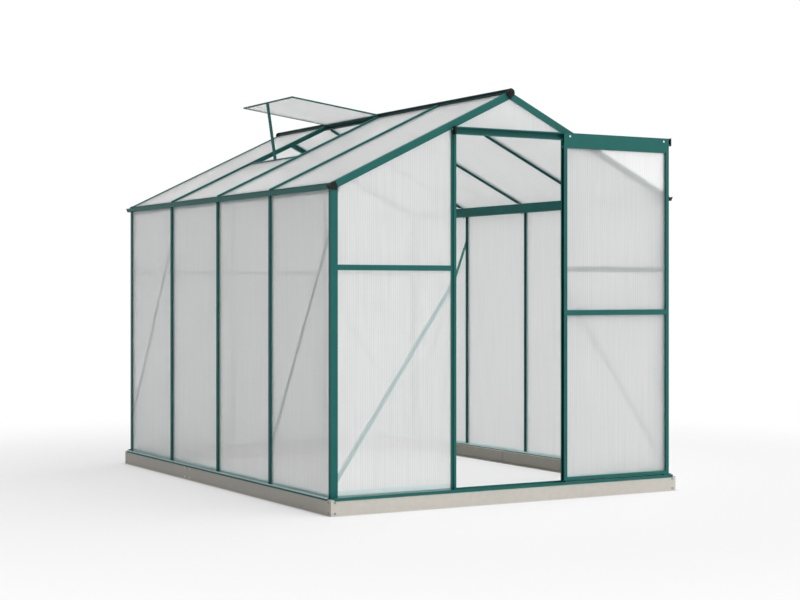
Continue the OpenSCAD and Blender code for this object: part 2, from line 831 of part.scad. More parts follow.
// Plastic caps over the ends of the track, open at the back
module track_end_caps() {
    shell = track_cap_t + seat_gap;
    color(black) translate([0, half_l - track_back - track_d, 0])
        for (side = [0, 1]) difference() {
            along_x(side == 0 ? track_x0 : track_x1 - track_cap_l,
                    side == 0 ? track_x0 + track_cap_l : track_x1, track_z)
                translate([-shell, -shell]) square([track_d + shell, track_h + 2 * shell]);
            along_x(side == 0 ? track_x0 + track_cap_t : track_x1 - track_cap_l - over,
                    side == 0 ? track_x0 + track_cap_l + over : track_x1 - track_cap_t, track_z)
                translate([-seat_gap, -seat_gap]) square([track_d + over, track_h + 2 * seat_gap]);
        }
}

// Stile of the door: a tube with a pane groove, width along x from its outer edge, front at y = 0
module stile_section() {
    difference() {
        square([stile_w, door_t]);
        translate([sheet, sheet]) square([stile_w - groove_d - 2 * sheet, door_t - 2 * sheet]);
        translate([stile_w - groove_d, (door_t - slot_t) / 2]) square([groove_d + over, slot_t]);
    }
}

module door_stiles() {
    color(green) translate([door_x + door_w / 2, -door_front, 0])
        both_sides() translate([-door_w / 2, 0, 0]) along_z(door_z, top_rail_z - seat_gap) stile_section();
}

// Groove for a pane in a rail of the door, in depth and height
module rail_groove(z)
    translate([(door_t - slot_t) / 2, z]) square([slot_t, groove_d + over]);

// Places an outline of depth from the door's front and height along the door
module along_door(x0, x1)
    translate([door_x, half_l - door_front, 0]) along_x(x0, x1) children();

// Top rail: a box behind the hanger plate that runs up in front of the track
module door_top_rail() {
    color(green) difference() {
        along_door(0, door_w) {
            difference() {
                translate([0, top_rail_z]) square([door_t, top_rail_h]);
                translate([sheet + hanger_t, top_rail_z + groove_d + sheet])
                    square([door_t - 2 * sheet - hanger_t, top_rail_h - groove_d - 2 * sheet]);
                rail_groove(top_rail_z - over);
            }
            translate([0, top_rail_z]) square([hanger_t, hanger_h]);
        }
        for (x = [roller_in, door_w - roller_in])
            translate([door_x + x, -door_front - over, roller_z]) rotate([-90, 0, 0])
                cylinder(d = axle_d + axle_play, h = hanger_t + 2 * over);
    }
}

module door_rails() {
    x0 = stile_w + seat_gap;
    rail_foot = door_rail_z - door_rail_h / 2;
    color(green) along_door(x0, door_w - x0) {
        difference() {
            translate([0, door_z]) square([door_t, bottom_rail_h]);
            rail_groove(door_z + bottom_rail_h - groove_d);
        }
        difference() {
            translate([0, rail_foot]) square([door_t, door_rail_h]);
            rail_groove(rail_foot - over);
            rail_groove(rail_foot + door_rail_h - groove_d);
        }
    }
}

module door_panes() {
    lap = groove_d - seat_gap;
    x0 = stile_w - lap;
    rail_foot = door_rail_z - door_rail_h / 2;
    edges = [door_z + bottom_rail_h - lap, rail_foot + lap, rail_foot + door_rail_h - lap, top_rail_z + lap];
    color(milky) along_door(x0, door_w - x0)
        for (i = [0, 2]) translate([(door_t - pane_t) / 2, edges[i]]) square([pane_t, edges[i + 1] - edges[i]]);
}

// Rollers in the track, each with the axle that passes through the hanger plate
module door_rollers() {
    color(black) for (x = [roller_in, door_w - roller_in])
        translate([door_x + x, 0, roller_z]) rotate([90, 0, 0]) {
            translate([0, 0, roller_y - roller_t / 2]) cylinder(r = roller_r, h = roller_t);
            translate([0, 0, roller_y]) cylinder(d = axle_d, h = door_front + axle_out - roller_y);
        }
}

base_front();
base_rear();
base_left();
base_right();
base_corner_angles();
base_splice_plates();
front_sill();
rear_sill();
left_sill();
right_sill();
left_corner_posts();
right_corner_posts();
left_wall_bars();
right_wall_bars();
door_posts();
rear_studs();
front_rails();
rear_rails();
left_gutter();
right_gutter();
gutter_end_caps();
front_verges();
rear_verges();
left_roof_bars();
right_roof_bars();
ridge_beam();
ridge_end_caps();
wall_braces();
gable_braces();
left_wall_panes();
right_wall_panes();
front_gable_panes();
rear_gable_panes();
left_roof_panes();
right_roof_panes();
vent_transom();
vent_frame();
vent_pane();
vent_stay();
door_track();
track_end_caps();
door_stiles();
door_top_rail();
door_rails();
door_panes();
door_rollers();
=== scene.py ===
# %% [markdown]
# # A garden greenhouse with twin-wall panes
# The frame of this part comes ready-made: every bar, pane and plate is already at its real size.
# This lesson gives each surface its finish and adds what is too small for the frame: bolts, nuts,
# roller caps, bosses, a strip of painted shade on the door's edge and the plugs of the vent. It is read
# from top to bottom, one cell at a time.

# %% Load the frame
import json
import math

import bpy
from mathutils import Matrix, Vector


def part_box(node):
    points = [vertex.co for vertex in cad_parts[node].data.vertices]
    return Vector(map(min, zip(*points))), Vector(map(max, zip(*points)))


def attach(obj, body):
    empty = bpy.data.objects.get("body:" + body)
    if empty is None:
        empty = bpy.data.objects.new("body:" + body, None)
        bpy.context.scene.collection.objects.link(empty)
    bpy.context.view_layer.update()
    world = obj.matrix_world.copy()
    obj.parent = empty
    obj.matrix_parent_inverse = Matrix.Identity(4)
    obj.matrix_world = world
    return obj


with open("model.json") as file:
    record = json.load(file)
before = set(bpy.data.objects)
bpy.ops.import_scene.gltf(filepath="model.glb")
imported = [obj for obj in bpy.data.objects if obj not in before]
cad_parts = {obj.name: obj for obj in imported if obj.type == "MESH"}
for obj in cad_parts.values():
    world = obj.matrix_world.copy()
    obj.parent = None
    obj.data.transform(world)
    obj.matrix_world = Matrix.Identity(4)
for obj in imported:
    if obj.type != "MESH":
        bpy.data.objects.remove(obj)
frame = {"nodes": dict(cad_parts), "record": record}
bpy.ops.object.select_all(action="DESELECT")
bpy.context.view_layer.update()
MM = 0.001

# %% [markdown]
# ## The camera
# The photograph was taken with a long lens held level, so upright edges stay upright. A level camera
# needs a small lens shift to frame the object, as an architect's camera does. The focal length and the
# horizon are given in pixels of the 800 by 600 frame, and the place in metres.

# %% Camera at the photograph's viewing angle
PHOTO_W = 800
PHOTO_H = 600
FOCAL_PX = 1641.0
HORIZON_PX = 289.8
EYE = Vector((-4.218, -7.568, 0.982))
YAW_DEG = 29.81
SENSOR_MM = 36.0

bpy.ops.object.camera_add(location=EYE, rotation=(math.radians(90), 0, -math.radians(YAW_DEG)))
camera = bpy.context.object
camera.name = "photo_camera"
camera.data.sensor_width = SENSOR_MM
camera.data.lens = FOCAL_PX / PHOTO_W * SENSOR_MM
camera.data.shift_y = (HORIZON_PX - PHOTO_H / 2) / PHOTO_W
camera.data.dof.use_dof = False
bpy.context.scene.camera = camera
print("lens", round(camera.data.lens, 1), "mm, shift", round(camera.data.shift_y, 4))

# %% [markdown]
# ## Shader maths as plain sums
# A finish is a small graph of nodes. Wiring each node by hand hides what the graph says, so a wire here
# is a Python value: adding or multiplying two wires adds a Math node, and `node` adds any other kind.

# %% A wire that can be added and multiplied
class Wire:
    """One socket of a finish. Sums of wires add Math nodes, and node() adds any other node."""

    def __init__(self, tree, socket=None):
        self.tree = tree
        self.socket = socket

    def node(self, kind, settings=None, sockets=None, output=0):
        made = self.tree.nodes.new(kind)
        for name, value in (settings or {}).items():
            setattr(made, name, value)
        for name, value in (sockets or {}).items():
            self.feed(made.inputs[name], value)
        return Wire(self.tree, made.outputs[output])

    def feed(self, plug, value):
        if isinstance(value, Wire):
            self.tree.links.new(value.socket, plug)
        else:
            plug.default_value = value

    def maths(self, operation, *values):
        return self.node("ShaderNodeMath", {"operation": operation}, dict(enumerate(values)))

    def __add__(self, other):
        return self.maths("ADD", self, other)

    def __sub__(self, other):
        return self.maths("SUBTRACT", self, other)

    def __mul__(self, other):
        return self.maths("MULTIPLY", self, other)

    __radd__ = __add__
    __rmul__ = __mul__

    def blend(self, first, second):
        """The colour first where this wire is 0, and second where it is 1."""
        factor_and_colours = {0: self, 6: first, 7: second}
        return self.node("ShaderNodeMix", {"data_type": "RGBA"}, factor_and_colours, output=2)


print("wires ready")

# %% [markdown]
# A finish starts from one Principled node. Values that are even all over are set on the node itself, and
# wires feed only what changes over the surface. Patterns follow the object's own coordinates, in metres,
# so they keep their size and stay put when a part moves.

# %% Start a finish and place its patterns
def new_finish(name, **sockets):
    """A material with one Principled node, its even sockets set. Returns it, the node and a wire."""
    material = bpy.data.materials.new(name)
    material.use_nodes = True
    skin = material.node_tree.nodes["Principled BSDF"]
    for socket, value in sockets.items():
        skin.inputs[socket.replace("_", " ")].default_value = value
    return material, skin, Wire(material.node_tree)


def noise(wire, place, scale, detail=2.0):
    return wire.node("ShaderNodeTexNoise", None, {"Vector": place, "Scale": scale, "Detail": detail})


def object_place(wire):
    return wire.node("ShaderNodeTexCoord", output="Object")


def bump(wire, height, strength, depth):
    return wire.node("ShaderNodeBump", None, {"Strength": strength, "Distance": depth, "Height": height})


print("finish helpers ready")

# %% [markdown]
# ## Dark green powder coat
# Every bar is aluminium under a satin powder coat. Up close the coat has a faint orange peel, about a
# millimetre across, and its colour drifts a little along a bar. The thin flat braces get paler greens,
# palest on the gables: painted light, which makes up for the shade of the panes in front of them. The
# ridge beam gets a green that is almost black. A function makes them all from two greens each, so that
# the peel and the sheen stay alike.

# %% Powder coat of the bars, the braces and the ridge
COAT_GREEN = (0.009, 0.110, 0.096, 1)
COAT_GREEN_PALE = (0.013, 0.133, 0.117, 1)
# The braces' paler greens are painted light: they make up for the shade of the panes in front of them.
BRACE_PAINTED_LIGHT_GREEN = (0.050, 0.260, 0.235, 1)
BRACE_PAINTED_LIGHT_GREEN_PALE = (0.062, 0.295, 0.266, 1)
GABLE_BRACE_PAINTED_LIGHT_GREEN = (0.125, 0.435, 0.400, 1)
GABLE_BRACE_PAINTED_LIGHT_GREEN_PALE = (0.140, 0.475, 0.435, 1)
RIDGE_GREEN = (0.004, 0.045, 0.041, 1)
RIDGE_GREEN_PALE = (0.006, 0.055, 0.050, 1)
COAT_SHEEN = 0.14
COAT_ROUGH = 0.40
DRIFT_PER_M = 9.0
PEEL_PER_M = 900.0
PEEL_ROUGH = 0.14
PEEL_BUMP = 0.12
PEEL_DEPTH = 0.4 * MM


def powder_coat(name, deep, pale):
    """Satin coat that drifts between two greens."""
    material, skin, wire = new_finish(name, Specular_IOR_Level=COAT_SHEEN)
    place = object_place(wire)
    drift = noise(wire, place, DRIFT_PER_M)
    peel = noise(wire, place, PEEL_PER_M)
    wire.feed(skin.inputs["Base Color"], drift.blend(deep, pale))
    wire.feed(skin.inputs["Roughness"], COAT_ROUGH + PEEL_ROUGH * peel)
    wire.feed(skin.inputs["Normal"], bump(wire, peel, PEEL_BUMP, PEEL_DEPTH))
    return material


bar_coat = powder_coat("green_powder_coat", COAT_GREEN, COAT_GREEN_PALE)
# Brace coats: their paler greens are painted light.
brace_painted_light_coat = powder_coat("brace_coat_painted_light", BRACE_PAINTED_LIGHT_GREEN, BRACE_PAINTED_LIGHT_GREEN_PALE)
gable_brace_painted_light_coat = powder_coat("gable_brace_coat_painted_light", GABLE_BRACE_PAINTED_LIGHT_GREEN, GABLE_BRACE_PAINTED_LIGHT_GREEN_PALE)
ridge_coat = powder_coat("ridge_powder_coat", RIDGE_GREEN, RIDGE_GREEN_PALE)
print("coats", [coat.name for coat in (bar_coat, brace_painted_light_coat, gable_brace_painted_light_coat, ridge_coat)])

# %% [markdown]
# ## Galvanised base
# The base is folded from zinc-coated sheet. Zinc freezes in flat crystals, so a cell pattern shifts its
# colour and shine a little, and a faint grime drifts over it.

# %% Galvanised sheet
ZINC_WARM = (0.50, 0.475, 0.425, 1)
ZINC_COOL = (0.57, 0.545, 0.495, 1)
SPANGLE_PER_M = 60.0
SPANGLE_SHARE = 0.45
SPANGLE_ROUGH = 0.18
GRIME_PER_M = 6.0
GRIME_DETAIL = 4.0
GRIME_SHARE = 0.55
ZINC_ROUGH = 0.42

galvanised, skin, wire = new_finish("galvanised_sheet", Metallic=0.12, Specular_IOR_Level=0.2)
place = object_place(wire)
cells = {"Vector": place, "Scale": SPANGLE_PER_M}
spangle = wire.node("ShaderNodeTexVoronoi", None, cells, output="Color")
grey = wire.node("ShaderNodeSeparateColor", None, {"Color": spangle})
grime = noise(wire, place, GRIME_PER_M, GRIME_DETAIL)
weathered = SPANGLE_SHARE * grey + GRIME_SHARE * grime
wire.feed(skin.inputs["Base Color"], weathered.blend(ZINC_WARM, ZINC_COOL))
wire.feed(skin.inputs["Roughness"], ZINC_ROUGH + SPANGLE_ROUGH * grey)
print("base finish", galvanised.name)

# %% [markdown]
# ## Black plastic
# The end caps, plugs and rollers are moulded plastic with a fine spark-eroded grain, a little paler in
# patches.

# %% Moulded plastic
PLASTIC_BLACK = (0.005, 0.006, 0.006, 1)
PLASTIC_WORN = (0.013, 0.014, 0.014, 1)
PLASTIC_ROUGH = 0.45
GRAIN_PER_M = 1500.0
GRAIN_ROUGH = 0.2
GRAIN_BUMP = 0.1
GRAIN_DEPTH = 0.2 * MM
WEAR_PER_M = 40.0

black_plastic, skin, wire = new_finish("black_plastic", Specular_IOR_Level=0.14)
place = object_place(wire)
grain = noise(wire, place, GRAIN_PER_M)
worn = noise(wire, place, WEAR_PER_M)
wire.feed(skin.inputs["Base Color"], worn.blend(PLASTIC_BLACK, PLASTIC_WORN))
wire.feed(skin.inputs["Roughness"], PLASTIC_ROUGH + GRAIN_ROUGH * grain)
wire.feed(skin.inputs["Normal"], bump(wire, grain, GRAIN_BUMP, GRAIN_DEPTH))
print("plastic finish", black_plastic.name)

# %% [markdown]
# ## Twin-wall sheet
# Each pane is two skins of polycarbonate joined by upright walls about a centimetre apart. Bars that
# touch the sheet show through it crisply, and things further off blur away. Plain glass would show the
# whole inside, and a diffuse white would show none of it. Here a rough transmission gives the blur,
# which grows with the distance behind the sheet, and an alpha below one lets part of the light go
# straight on, as through the clear skins between the flutes. Fine upright streaks come from the flutes
# and from noise that is stretched along them. The open flutes at the foot of a sheet are closed with a
# strip of pale tape, which stands higher on the gables than on the walls. The pale band is partly painted
# light: its height is set to cover the shade that the sill's upstand behind the sheet leaves on it.

# %% Twin-wall sheet, fluted across one axis
FLUTE = 11 * MM
STREAK_ACROSS = 110.0
STREAK_ALONG = 3.0
STREAK_CONTRAST = 1.8
STREAK_DETAIL = 3.0
SHEET_IOR = 1.45
SHEET_ROUGH = 0.46
FLUTE_ROUGH = 0.04
FLUTE_BUMP = 0.15
FLUTE_DEPTH = 0.1 * MM
SHEET_MILK = (0.80, 0.805, 0.805, 1)
SHEET_CLEAR = (1.0, 1.0, 1.0, 1)
# Pale foot of a sheet: partly tape, partly painted light over the shade of the upstand behind it.
PALE_TAPE_PAINTED_LIGHT = (0.70, 0.84, 0.84, 1)
GABLE_PAINTED_BAND_TOP = 104 * MM
WALL_PAINTED_BAND_TOP = 92 * MM


def twin_wall(name, across, painted_band_top):
    """Milky sheet whose flutes lie side by side along the axis across, 0 for X and 1 for Y."""
    material, skin, wire = new_finish(name, IOR=SHEET_IOR, Transmission_Weight=0.66, Alpha=0.72)
    place = object_place(wire)
    along = wire.node("ShaderNodeSeparateXYZ", None, {"Vector": place}, output=across)
    height = wire.node("ShaderNodeSeparateXYZ", None, {"Vector": place}, output="Z")
    flute = 0.5 + 0.5 * wire.maths("SINE", along * (2 * math.pi / FLUTE))
    stretch = [STREAK_ALONG] * 3
    stretch[across] = STREAK_ACROSS
    drawn_out = wire.node("ShaderNodeMapping", None, {"Vector": place, "Scale": stretch})
    streak = 0.5 + STREAK_CONTRAST * (noise(wire, drawn_out, 1.0, STREAK_DETAIL) - 0.5)
    sheet = (0.5 * flute + 0.5 * streak).blend(SHEET_MILK, SHEET_CLEAR)
    # Below the band's top the sheet takes the pale colour: tape, and painted light over the upstand's
    # shade.
    painted_pale_band = wire.maths("LESS_THAN", height, painted_band_top)
    wire.feed(skin.inputs["Base Color"], painted_pale_band.blend(sheet, PALE_TAPE_PAINTED_LIGHT))
    wire.feed(skin.inputs["Roughness"], SHEET_ROUGH + FLUTE_ROUGH * flute)
    wire.feed(skin.inputs["Normal"], bump(wire, flute, FLUTE_BUMP, FLUTE_DEPTH))
    return material


sheet_across_x = twin_wall("twin_wall_across_x", 0, GABLE_PAINTED_BAND_TOP)
sheet_across_y = twin_wall("twin_wall_across_y", 1, WALL_PAINTED_BAND_TOP)
print("sheets", sheet_across_x.name, sheet_across_y.name)

# %% [markdown]
# ## Painted light over the side sills
# Along the side walls a pale colour is laid over the sill above one height, so only a thin green edge
# shows above the base. The pale colour is painted light, standing in for the light that comes through the
# foot of the panes. The sill's coat is the bars' coat with that colour laid over it.

# %% Coat of the side sills, with painted light above one height
# Pale colour above the foot height: painted light, standing in for light through the foot of the panes.
SILL_PAINTED_LIGHT = (0.70, 0.90, 0.89, 1)
SILL_PAINTED_LIGHT_FOOT = 73.5 * MM

sill_painted_light_coat = powder_coat("sill_coat_painted_light", COAT_GREEN, COAT_GREEN_PALE)
skin = sill_painted_light_coat.node_tree.nodes["Principled BSDF"]
wire = Wire(sill_painted_light_coat.node_tree)
green = Wire(wire.tree, skin.inputs["Base Color"].links[0].from_socket)
height = wire.node("ShaderNodeSeparateXYZ", None, {"Vector": object_place(wire)}, output="Z")
# Above this height the sill shows the painted light.
painted_pale_band = wire.maths("GREATER_THAN", height, SILL_PAINTED_LIGHT_FOOT)
wire.feed(skin.inputs["Base Color"], painted_pale_band.blend(green, SILL_PAINTED_LIGHT))
print("sill finish", sill_painted_light_coat.name)

# %% [markdown]
# ## Dress the frame
# The record says which slot each node takes. Sheets on the gables and the door have their flutes side by
# side along X, and those on the walls, the roof and the vent along Y.

# %% Give every node its finish
BY_SLOT = {"green_frame": bar_coat, "galvanised_base": galvanised, "black_plastic": black_plastic}
BY_NODE = {"ridge_beam": ridge_coat, "left_sill": sill_painted_light_coat, "right_sill": sill_painted_light_coat,
           "wall_braces": brace_painted_light_coat, "gable_braces": gable_brace_painted_light_coat}
for row in frame["record"]["subparts"]:
    name = row["node"]
    if row["material_slot"] == "twin_wall_sheet":
        finish = sheet_across_x if "gable" in name or "door" in name else sheet_across_y
    else:
        finish = BY_NODE.get(name) or BY_SLOT[row["material_slot"]]
    node = frame["nodes"][name]
    node.data.materials.clear()
    node.data.materials.append(finish)
print("finishes:", sorted({m.name for o in frame["nodes"].values() for m in o.data.materials}))

# %% [markdown]
# ## Bright zinc for the fasteners
# Bolts and nuts are plated steel, smoother than the base, with a faint bloom that dulls them in patches.
# The splice bolts and the caps of the rollers get a nearly white plating, a painted highlight.

# %% Plated steel, dulled, and nearly white with a painted highlight
ZINC_BRIGHT = (0.36, 0.35, 0.33, 1)
ZINC_BLOOM = (0.22, 0.215, 0.20, 1)
# Nearly white plating: a painted highlight on the splice bolts and the roller caps.
PAINTED_GLINT_BRIGHT = (0.92, 0.92, 0.92, 1)
PAINTED_GLINT_BLOOM = (0.74, 0.74, 0.73, 1)
BLOOM_PER_M = 160.0
BLOOM_DETAIL = 3.0
PLATED_ROUGH = 0.22
BLOOM_ROUGH = 0.3


def plating(name, bright, dull, metal):
    """Zinc plating that a bloom dulls in patches."""
    material, skin, wire = new_finish(name, Metallic=metal)
    bloom = noise(wire, object_place(wire), BLOOM_PER_M, BLOOM_DETAIL)
    wire.feed(skin.inputs["Base Color"], bloom.blend(bright, dull))
    wire.feed(skin.inputs["Roughness"], PLATED_ROUGH + BLOOM_ROUGH * bloom)
    return material


plated = plating("plated_steel", ZINC_BRIGHT, ZINC_BLOOM, metal=0.85)
painted_glint_plated = plating("painted_glint_plated_steel", PAINTED_GLINT_BRIGHT, PAINTED_GLINT_BLOOM, metal=0.25)
print("platings", plated.name, painted_glint_plated.name)

# %% [markdown]
# ## Modelling by hand
# Each small piece starts from a primitive and is shaped in edit mode. A few helpers carry the work: one
# adds the primitive with nothing else selected, one selects faces or edges by a test on their corners,
# one closes the edit and smooths what is rounder than a sharp edge, and one makes the test.

# %% Helpers for edit mode
SHARP_DEG = 35
SAME_PLACE = 0.02 * MM


def start_piece(kind, name, **settings):
    """Adds a primitive with its place and size applied to its mesh."""
    bpy.ops.object.select_all(action="DESELECT")
    getattr(bpy.ops.mesh, "primitive_%s_add" % kind)(**settings)
    piece = bpy.context.object
    piece.name = name
    bpy.ops.object.transform_apply(location=True, rotation=True, scale=True)
    return piece


def choose(piece, kind, wanted):
    """Selects the faces or edges of a piece whose corners pass the test wanted. Stays in edit mode."""
    bpy.ops.object.mode_set(mode="EDIT")
    bpy.ops.mesh.select_mode(type=kind)
    bpy.ops.mesh.select_all(action="DESELECT")
    bpy.ops.object.mode_set(mode="OBJECT")
    points = piece.data.vertices
    for part in piece.data.polygons if kind == "FACE" else piece.data.edges:
        corners = [points[v].co for v in part.vertices]
        part.select = wanted(corners)
    bpy.ops.object.mode_set(mode="EDIT")


def close_piece():
    bpy.ops.object.mode_set(mode="OBJECT")
    bpy.ops.object.shade_smooth_by_angle(angle=math.radians(SHARP_DEG))


def flat_at(axis, value):
    """A test for faces or edges that lie at one value of an axis, 0 for X and 2 for Z."""
    return lambda corners: all(abs(corner[axis] - value) < SAME_PLACE for corner in corners)


print("edges sharper than", SHARP_DEG, "degrees stay sharp")

# %% [markdown]
# ## Bolts and nuts
# The base is bolted at its corners and its splices with low domed bolts, and the braces, rails and eave
# beams carry hexagon nuts on washers. One of each is modelled, standing on the origin with its axis
# along Z: a cylinder, its rim bevelled to a dome or a chamfer, and a recess or a thread end extruded from
# the inset top.

# %% One domed bolt and one nut on its washer
DOME_R = 5.5 * MM
DOME_H = 2.2 * MM
NUT_R = 6.0 * MM
NUT_H = 4.5 * MM
WASHER_R = 7.5 * MM
WASHER_T = 1.2 * MM
THREAD_END = 2.5 * MM
BOLT_SIDES = 20
WASHER_SIDES = 24
NUT_SIDES = 6
DOME_BEVEL = 0.7
DOME_RIM = 0.28
DOME_RECESS = 0.5
WASHER_BEVEL = 0.3
NUT_BEVEL = 0.16
NUT_RIM = 0.3


def domed_bolt(name, radius, height):
    """A low round head with a recess in its top, all in shares of its radius and height."""
    bolt = start_piece("cylinder", name, vertices=BOLT_SIDES, radius=radius, depth=height,
                       location=(0, 0, height / 2))
    choose(bolt, "EDGE", flat_at(2, height))
    bpy.ops.mesh.bevel(offset=DOME_BEVEL * height, segments=4, profile=0.5)
    choose(bolt, "FACE", flat_at(2, height))
    bpy.ops.mesh.inset(thickness=DOME_RIM * radius)
    bpy.ops.mesh.extrude_region_move(TRANSFORM_OT_translate={"value": (0, 0, -DOME_RECESS * height)})
    close_piece()
    return bolt


def nut_on_washer(name, radius, height, washer_r, thread_end):
    """A chamfered nut with the end of its thread, joined to the washer under it."""
    washer = start_piece("cylinder", "washer", vertices=WASHER_SIDES, radius=washer_r, depth=WASHER_T,
                         location=(0, 0, WASHER_T / 2))
    choose(washer, "EDGE", flat_at(2, WASHER_T))
    bpy.ops.mesh.bevel(offset=WASHER_BEVEL * WASHER_T, segments=2)
    close_piece()
    top = WASHER_T + height
    nut = start_piece("cylinder", name, vertices=NUT_SIDES, radius=radius, depth=height,
                      location=(0, 0, WASHER_T + height / 2))
    choose(nut, "EDGE", flat_at(2, top))
    bpy.ops.mesh.bevel(offset=NUT_BEVEL * height, segments=2)
    choose(nut, "FACE", flat_at(2, top))
    bpy.ops.mesh.inset(thickness=NUT_RIM * radius)
    bpy.ops.mesh.extrude_region_move(TRANSFORM_OT_translate={"value": (0, 0, thread_end)})
    close_piece()
    washer.select_set(True)
    nut.select_set(True)
    bpy.context.view_layer.objects.active = nut
    bpy.ops.object.join()
    return nut


one_bolt = domed_bolt("one_bolt", DOME_R, DOME_H)
one_nut = nut_on_washer("one_nut", NUT_R, NUT_H, WASHER_R, THREAD_END)
print("bolt", len(one_bolt.data.polygons), "faces, nut", len(one_nut.data.polygons), "faces")

# %% [markdown]
# A fastener must sit on the metal that it holds. A ray sent at the frame finds that point, so no height
# is guessed, and the copies of one joint are joined into one piece.

# %% Seat fasteners on the frame
def seat(node, start, toward):
    """The point of a node that a ray meets, and the way back along the ray. Start is in millimetres."""
    met, spot, _, _ = frame["nodes"][node].ray_cast(Vector(start) * MM, Vector(toward))
    if not met:
        raise ValueError("no metal of %s at %s" % (node, start))
    return spot, -Vector(toward)


def fasten(model, name, seats, body, finish):
    """Copies a fastener to its seats as one piece that rides on a body."""
    copies = []
    for spot, facing in seats:
        copy = model.copy()
        copy.data = model.data.copy()
        bpy.context.collection.objects.link(copy)
        upright = facing.to_track_quat("Z", "Y").to_matrix().to_4x4()
        copy.data.transform(Matrix.Translation(spot) @ upright)
        copies.append(copy)
    bpy.ops.object.select_all(action="DESELECT")
    for copy in copies:
        copy.select_set(True)
    bpy.context.view_layer.objects.active = copies[0]
    bpy.ops.object.join()
    piece = bpy.context.object
    piece.name = name
    piece.data.materials.append(finish)
    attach(piece, body)
    print(name, len(seats))


print("seats are searched on", len(frame["nodes"]), "nodes")

# %% [markdown]
# ## Bolts of the base
# Two bolts close each end of each channel on the angle inside it, and four hold each splice. They stand
# near the top and the bottom edge of the channel. The places of fasteners are in millimetres, here and
# below.

# %% Base corner and splice bolts
BOLT_Z = (12, 59)
END_X = 930
SIDE_Y = 1239
SPLICE_Y = (316, 384)
FAR = 2000

corner_seats = []
splice_seats = []
for z in BOLT_Z:
    for side in (-1, 1):
        corner_seats.append(seat("base_front", (side * END_X, -FAR, z), (0, 1, 0)))
        corner_seats.append(seat("base_rear", (side * END_X, FAR, z), (0, -1, 0)))
        node = "base_left" if side < 0 else "base_right"
        for y in (-SIDE_Y, SIDE_Y):
            corner_seats.append(seat(node, (side * FAR, y, z), (-side, 0, 0)))
        for y in SPLICE_Y:
            splice_seats.append(seat(node, (side * FAR, y, z), (-side, 0, 0)))
fasten(one_bolt, "base_corner_bolts", corner_seats, "frame", plated)
# The splice bolts take the nearly white plating, a painted highlight.
fasten(one_bolt, "base_splice_bolts", splice_seats, "frame", painted_glint_plated)

# %% [markdown]
# ## Nuts on the frame's inner side
# The eave beams are bolted to the posts and bars, the gable rails to the posts and studs, and the wall
# braces at both their ends. The nuts are all inside, out of the weather.

# %% Eave, rail and brace nuts
EAVE_X = 898
EAVE_Y = (-1180, -609, 0, 609, 1180)
EAVE_BELOW = 1300
RAIL_Z = 1080
RAIL_X = (345, 870)
BRACE_ENDS = ((-1193, 1223), (-637, 307), (637, 1223), (1193, 307))
INSIDE_X = 700
INSIDE_Y = 1100

eave_seats = []
rail_seats = []
brace_seats = []
for side in (-1, 1):
    node = "left_gutter" if side < 0 else "right_gutter"
    eave_seats += [seat(node, (side * EAVE_X, y, EAVE_BELOW), (0, 0, 1)) for y in EAVE_Y]
    for x in RAIL_X:
        rail_seats.append(seat("front_rails", (side * x, -INSIDE_Y, RAIL_Z), (0, -1, 0)))
        rail_seats.append(seat("rear_rails", (side * x, INSIDE_Y, RAIL_Z), (0, 1, 0)))
    for y, z in BRACE_ENDS:
        brace_seats.append(seat("wall_braces", (side * INSIDE_X, y, z), (side, 0, 0)))
fasten(one_nut, "eave_nuts", eave_seats, "frame", plated)
fasten(one_nut, "rail_nuts", rail_seats, "frame", plated)
fasten(one_nut, "brace_nuts", brace_seats, "frame", plated)

# %% [markdown]
# ## Roller caps of the door
# The door hangs from two rollers. Their axles come through the hanger plate and end in domed caps, whose
# nearly white plating is a painted highlight, and which ride with the door.

# %% Caps on the roller axles
ROLLER_X = (317.5, 876.5)
ROLLER_Z = 1704.2
CAP_R = 5.0 * MM
CAP_H = 3.2 * MM

one_cap = domed_bolt("one_cap", CAP_R, CAP_H)
plate_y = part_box("door_top_rail")[0].y
axle_seats = [(Vector((x * MM, plate_y, ROLLER_Z * MM)), Vector((0, -1, 0))) for x in ROLLER_X]
# The caps take the nearly white plating, a painted highlight.
fasten(one_cap, "roller_caps", axle_seats, "door", painted_glint_plated)

# %% [markdown]
# ## Bosses of the ridge caps
# Each end of the ridge is closed with a moulded cap, and a round boss with a hollow middle stands on its
# face. It has the form of a wide, low bolt head, so the same helper makes it.

# %% Bosses on the ridge end caps
BOSS_R = 11.0 * MM
BOSS_H = 3.0 * MM
BOSS_Z = 1893

one_boss = domed_bolt("one_boss", BOSS_R, BOSS_H)
boss_seats = [seat("ridge_end_caps", (0, -way * FAR, BOSS_Z), (0, way, 0)) for way in (1, -1)]
fasten(one_boss, "ridge_cap_bosses", boss_seats, "frame", black_plastic)
for model in (one_bolt, one_nut, one_cap, one_boss):
    bpy.data.objects.remove(model)

# %% [markdown]
# ## Dark strip on the door's edge
# A nearly black green strip runs down the closing edge of the door. Its darkness is painted shade,
# standing in for the shade on the left face of the stile. It starts as a flat block on the stile, and its
# outer face is inset and pulled out to a soft bulb. It has hardly any sheen, so the moulded plastic's
# finish would be too bright here.

# %% Strip of painted shade on the closing stile
# Nearly black green: painted shade, standing in for the shade on the stile's left face.
PAINTED_SHADE_DEEP = (0.001, 0.010, 0.010, 1)
PAINTED_SHADE_RUBBED = (0.002, 0.016, 0.015, 1)
SCUFF_PER_M = 120.0
SCUFF_DETAIL = 3.0
PAINTED_SHADE_ROUGH = 0.6
SCUFF_ROUGH = 0.2
STRIP_T = 1.6 * MM
STRIP_W = 13.0 * MM
STRIP_BULB = 1.2 * MM
STRIP_MARGIN = 2.0 * MM
STRIP_INSET = 4.0 * MM
STRIP_ROUND = 0.5 * MM

